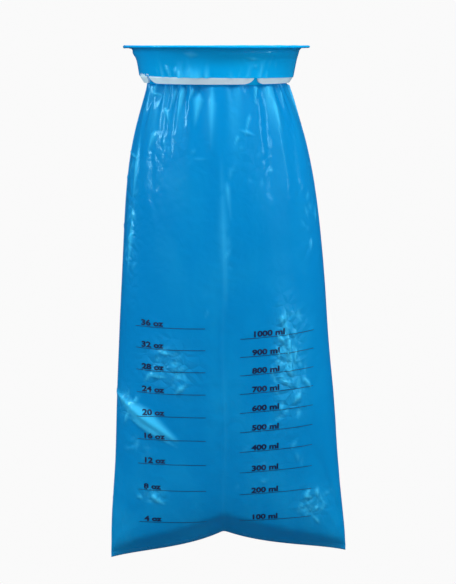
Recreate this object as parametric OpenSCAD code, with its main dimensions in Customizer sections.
// Collection bag: a stiff collar ring that carries a limp film pouch.
//
// The film is one tube, sealed flat across its bottom. Its mouth passes up through
// the ring, turns over the flange and is bonded round the outside of the collar.
// The ring's lower lip stays bare and has four notches: the user twists the film
// below the ring and pulls the twisted neck into a notch, which holds it shut.
//
// Frame: +Z up, +X to the right, front towards -Y. The origin is on the ring's axis,
// in the plane of the flange's underside, where a hoop would carry the bag.
// Film is drawn thicker than it is, so that it stays a sound solid.

/* [Collar] */
// Diameter of the bare lip at its lower edge, outside
lip_d = 90; // [70:1:110]
// Width of the flange's flat part, from the bend to the rounding of its edge
flange_w = 3.2; // [1.5:0.1:8]
// Height from the top of the flange to the lower edge of the lip
collar_h = 22.6; // [20:0.2:36]
// Wall of the moulded ring, flange included
ring_wall = 1.0; // [0.8:0.1:1.6]
// Slope of the collar's wall from the vertical, in degrees
collar_slope = 11.3; // [6:0.1:14]
// Height of the bare lip below the film's cut edge
lip_h = 3.8; // [3.6:0.1:6]
// Slope of the bare lip from the vertical, in degrees
lip_slope = 30; // [20:1:36]
// Radius of the bend between flange and collar, at the middle of the wall
bend_r = 3.8; // [3:0.1:5]

/* [Locking notches] */
// Number of notches round the lip
notch_count = 4; // [2:1:6]
// Angle of the first notch, measured from +X
first_notch = -60; // [-90:1:90]
// Width of each slot
slot_w = 3.0; // [2:0.1:4]
// Height of each slot above the lip's lower edge
slot_h = 5.2; // [4.6:0.1:8]
// Width of each notch's flared mouth
mouth_w = 16; // [10:0.5:22]
// Height of the rounding on each side of the mouth
mouth_h = 3.4; // [2.4:0.1:3.8]

/* [Film] */
// Film thickness as drawn
film_t = 0.3; // [0.3:0.1:0.6]
// Space left for the bond between film and ring
bond_gap = 0.1; // [0.05:0.05:0.2]
// Gap between the film lining the collar and the top of the pouch
turn_gap = 0.3; // [0.2:0.1:0.6]

/* [Pouch] */
// Length of the whole bag, from the flange's underside to the lowest corner
bag_l = 333; // [280:0.5:400]
// How much the pouch widens just below the ring, on each side
shoulder = 12.6; // [6:0.2:16]
// How much the pouch widens from there to the seal, on each side
spread = 22; // [8:0.5:28]
// How much deeper the pouch gets just below the ring, front and back
belly = 5; // [2:0.5:8]
// Share of its depth that the pouch loses on its way down to the seal
depth_loss = 0.5; // [0.3:0.05:0.6]
// Share of each section that is drawn as a flat-sided fold instead of an oval
fold_share = 0.3; // [0.1:0.05:0.4]
// How far the lower end hangs to the right of the ring's axis
hang_shift = 8; // [0:0.5:10]
// How far the middle of the seal is drawn up above its corners
seal_rise = 17; // [8:0.5:24]
// Height of the welded strip
seal_h = 5; // [3:0.5:8]

/* [Hidden] */
$fn = 96;

half_wall = ring_wall / 2;
skin_in = half_wall + bond_gap;
skin_out = skin_in + film_t;
flange_z = skin_out;
lip_z = flange_z + skin_out - collar_h;
cut_z = lip_z + lip_h;
overlap_z = 0.2;
pouch_top_z = lip_z - turn_gap;
neck_r = lip_d / 2 - ring_wall - bond_gap;
seal_z = -(bag_l - seal_h);
pouch_l = pouch_top_z - seal_z;

bend_steps = 8;
cap_steps = 12;
mouth_steps = 8;
side_steps = 24;
down_steps = 24;

// How fast the shoulder and the folds settle in, as shares of the pouch's length.
shoulder_reach = 0.09;
belly_reach = 0.06;
fold_reach = 0.2;
// How late the section closes on the seal, and how late the seal's rise is felt.
close_power = 12;
rise_power = 6;
// Share of the rise, and of the sideways shift, that comes gently instead of steeply.
gentle_rise = 0.62;
steep_rise_power = 4;
steady_shift = 0.8;

RING_COLOUR = [0.90, 0.92, 0.94];
FILM_COLOUR = [0.00, 0.50, 0.80];

// ---- The collar's section: a line down the middle of its wall, in (radius, height).

function reversed(list) = [for (i = [len(list) - 1:-1:0]) list[i]];
function unit(v) = v / norm(v);
// The normal of a direction that points to the flange's underside and the collar's outside.
function outward(d) = [-d[1], d[0]];

// The mean direction of a line at its point i.
function direction(line, i) =
    let (last = len(line) - 1)
    let (before = i > 0 ? unit(line[i] - line[i - 1]) : unit(line[1] - line[0]))
    let (after = i < last ? unit(line[i + 1] - line[i]) : before)
    unit(before + after);

// The line moved sideways by d, outward when d is positive.
function shifted(line, d) =
    [for (i = [0:len(line) - 1])
        let (last = len(line) - 1)
        let (way = direction(line, i))
        let (leg = i < last ? unit(line[i + 1] - line[i]) : way)
        line[i] + outward(way) * d / max(0.5, way * leg)];

knee = [lip_d / 2 - half_wall + lip_h * tan(lip_slope), cut_z];
lip_end = [lip_d / 2 - half_wall, lip_z + half_wall];
bend_end_z = flange_z - bend_r * (1 - sin(collar_slope));
bend_end_r = knee[0] + (bend_end_z - knee[1]) * tan(collar_slope);
bend_centre = [bend_end_r + bend_r * cos(collar_slope), flange_z - bend_r];
rim_end = [bend_centre[0] + flange_w, flange_z];

bend = [for (i = [0:bend_steps])
    let (a = 90 + (90 - collar_slope) * i / bend_steps)
    bend_centre + bend_r * [cos(a), sin(a)]];
flange_and_wall = concat([rim_end], bend);
middle = concat(flange_and_wall, [knee, lip_end]);

// A half round at the end of a line, from its outward side round to its inward side.
function end_cap(at, r, from) =
    [for (i = [0:cap_steps])
        let (a = from + 180 * i / cap_steps)
        at + r * [cos(a), sin(a)]];

lip_way = unit(lip_end - knee);
lip_out_angle = atan2(outward(lip_way)[1], outward(lip_way)[0]);

function wall_outline(d) =
    concat(shifted(middle, d), reversed(end_cap(lip_end, d, lip_out_angle - 180)),
        reversed(shifted(middle, -d)), reversed(end_cap(rim_end, d, -90)));

// One face of the film: up the outside, round the rim and down the inside to the lip's edge.
cuff_outside = concat(flange_and_wall, [knee + [0, overlap_z]]);
function film_face(d) =
    concat(reversed(shifted(cuff_outside, d)), end_cap(rim_end, d, -90),
        shifted(middle, -d), [[lip_end[0] - d, lip_z]]);

module collar_ring() {
    color(RING_COLOUR)
        difference() {
            rotate_extrude() polygon(wall_outline(half_wall));
            for (i = [0:notch_count - 1]) rotate(first_notch + i * 360 / notch_count) notch();
        }
}

// A slot that opens downwards through a flared mouth with rounded shoulders.
module notch() {
    flare = [for (i = [0:mouth_steps])
        let (a = 90 * i / mouth_steps)
        [mouth_w / 2 - (mouth_w - slot_w) / 2 * sin(a), lip_z + mouth_h * (1 - cos(a))]];
    top = [for (i = [1:mouth_steps - 1])
        let (a = 180 * i / mouth_steps)
        [slot_w / 2 * cos(a), lip_z + slot_h - slot_w / 2 * (1 - sin(a))]];
    below = lip_z - ring_wall;
    right = concat([[mouth_w / 2, below]], flare, [[slot_w / 2, lip_z + slot_h - slot_w / 2]]);
    left = [for (p = reversed(right)) [-p[0], p[1]]];
    translate([knee[0] - mouth_w / 2, 0, 0])
        rotate([90, 0, 90])
            linear_extrude(mouth_w) polygon(concat(right, top, left));
}

module film_cuff() {
    color(FILM_COLOUR)
        rotate_extrude()
            polygon(concat(film_face(skin_out), reversed(film_face(skin_in))));
}

// ---- The pouch: sections down its length, where s runs from 0 at the top to 1 at the seal.

function settled(s, reach) = 1 - exp(-s / reach);
function half_width(s) = neck_r + shoulder * settled(s, shoulder_reach) + spread * s;
function half_depth(s) =
    (neck_r + belly * settled(s, belly_reach)) * (1 - depth_loss * s)
        * sqrt(1 - pow(s, close_power));
function fold(s) = fold_share * settled(s, fold_reach);
function shift(s) =
    hang_shift * ((1 - steady_shift) * settled(s, shoulder_reach) + steady_shift * s);
// How far up the seal is drawn at u, a share of the half width out from the middle.
function rise(u) =
    seal_rise * (gentle_rise * (1 - abs(u)) + (1 - gentle_rise) * pow(1 - abs(u), steep_rise_power));

// A point of the film, at angle a round the half section, moved in by the distance inset.
function film_point(s, a, inset) =
    let (w = half_width(s) - inset)
    let (d = max(0, half_depth(s) + film_t - inset))
    let (u = cos(a))
    [shift(s) + w * u,
        -d * ((1 - fold(s)) * sin(a) + fold(s) * (1 - abs(u))),
        pouch_top_z - pouch_l * s + rise(u * w / half_width(s)) * pow(s, rise_power)];

function grid(inset) =
    [for (j = [0:down_steps], i = [0:side_steps])
        film_point(j / down_steps, 180 * i / side_steps, inset)];

// Two triangles for each square of a grid whose first point is number start.
function squares(start, flip) =
    [for (j = [0:down_steps - 1], i = [0:side_steps - 1], half = [0, 1])
        let (row = side_steps + 1)
        let (a = start + j * row + i)
        let (t = half == 0 ? [a, a + 1, a + row] : [a + 1, a + row + 1, a + row])
        flip ? [t[2], t[1], t[0]] : t];

// Two triangles for each step of a border between the outer and the inner grid.
function border(numbers, inner, flip) =
    [for (i = [0:len(numbers) - 2], half = [0, 1])
        let (a = numbers[i])
        let (b = numbers[i + 1])
        let (t = half == 0 ? [a, b, inner + a] : [b, inner + b, inner + a])
        flip ? [t[2], t[1], t[0]] : t];

// One wall of the pouch. Its side edges lie in the plane between the two walls.
module pouch_wall() {
    row = side_steps + 1;
    count = row * (down_steps + 1);
    top = [for (i = [0:side_steps]) i];
    bottom = [for (i = [0:side_steps]) down_steps * row + i];
    right = [for (j = [0:down_steps]) j * row];
    left = [for (j = [0:down_steps]) j * row + side_steps];
    polyhedron(
        points = concat(grid(0), grid(film_t)),
        faces = concat(squares(0, false), squares(count, true),
            border(top, count, true), border(bottom, count, false),
            border(right, count, false), border(left, count, true)));
}

module pouch_front() {
    color(FILM_COLOUR) pouch_wall();
}

module pouch_back() {
    color(FILM_COLOUR) mirror([0, 1, 0]) pouch_wall();
}

// The welded strip below both walls, as wide as the pouch and drawn up in the middle.
module bottom_seal() {
    line = [for (i = [0:side_steps])
        let (p = film_point(1, 180 * i / side_steps, 0))
        [p[0], p[2]]];
    color(FILM_COLOUR)
        rotate([90, 0, 0])
            linear_extrude(2 * film_t, center = true)
                polygon(concat(line, reversed([for (p = line) p - [0, seal_h]])));
}

collar_ring();
film_cuff();
pouch_front();
pouch_back();
bottom_seal();
